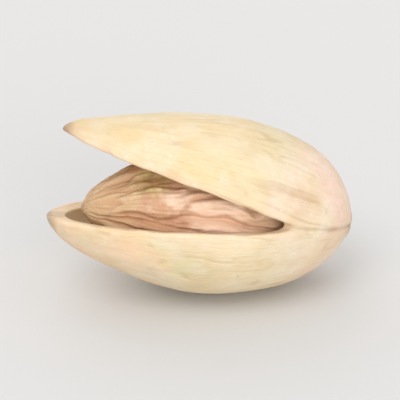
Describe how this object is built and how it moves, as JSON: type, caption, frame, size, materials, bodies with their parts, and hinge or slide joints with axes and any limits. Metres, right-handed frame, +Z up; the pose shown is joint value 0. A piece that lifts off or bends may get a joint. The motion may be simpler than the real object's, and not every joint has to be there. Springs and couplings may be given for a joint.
{
  "type": "pistachio in shell",
  "caption": "Roasted pistachio in its naturally split shell: a woody shell with valves gaping from the tip and joined at the stem end, and a loose kernel inside.",
  "frame": {"origin": "under the middle of the nut's box, on the surface that it lies on", "axes": "+X along the nut from the open tip to the stem end, +Z up, and the wider side of the gape towards -Y"},
  "size_m": [0.0212, 0.0132, 0.0128],
  "materials": {
    "shell_wood": "matte",
    "kernel_skin": "satin"
  },
  "bodies": {
    "root": {"shell": "shell_wood", "kernel": "kernel_skin"}
  },
  "joints": []
}
